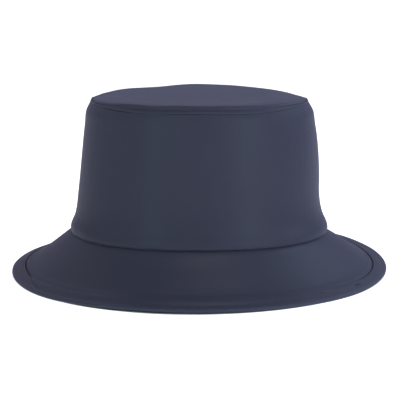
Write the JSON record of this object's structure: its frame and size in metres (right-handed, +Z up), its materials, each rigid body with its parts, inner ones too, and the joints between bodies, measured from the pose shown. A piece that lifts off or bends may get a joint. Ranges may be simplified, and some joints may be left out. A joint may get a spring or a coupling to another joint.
{
  "type": "rain hat",
  "caption": "Bucket-shaped rain hat in coated cloth: domed oval top, flared side wall with a folded lip, sloping brim and a folded band round its edge.",
  "frame": {"origin": "on the surface that the hat stands on, under the middle of the brim's outline", "axes": "+Z up through the crown, the front of the hat faces -Y, +X is the right side of the picture"},
  "size_m": [0.2626, 0.2896, 0.1264],
  "materials": {
    "crown_cloth": "matt navy coated cloth with a soft sheen",
    "brim_cloth": "matt navy coated cloth with a soft sheen"
  },
  "bodies": {
    "root": {"crown_top": "crown_cloth", "crown_wall": "crown_cloth", "brim": "brim_cloth", "brim_edge_band": "brim_cloth"}
  },
  "joints": []
}
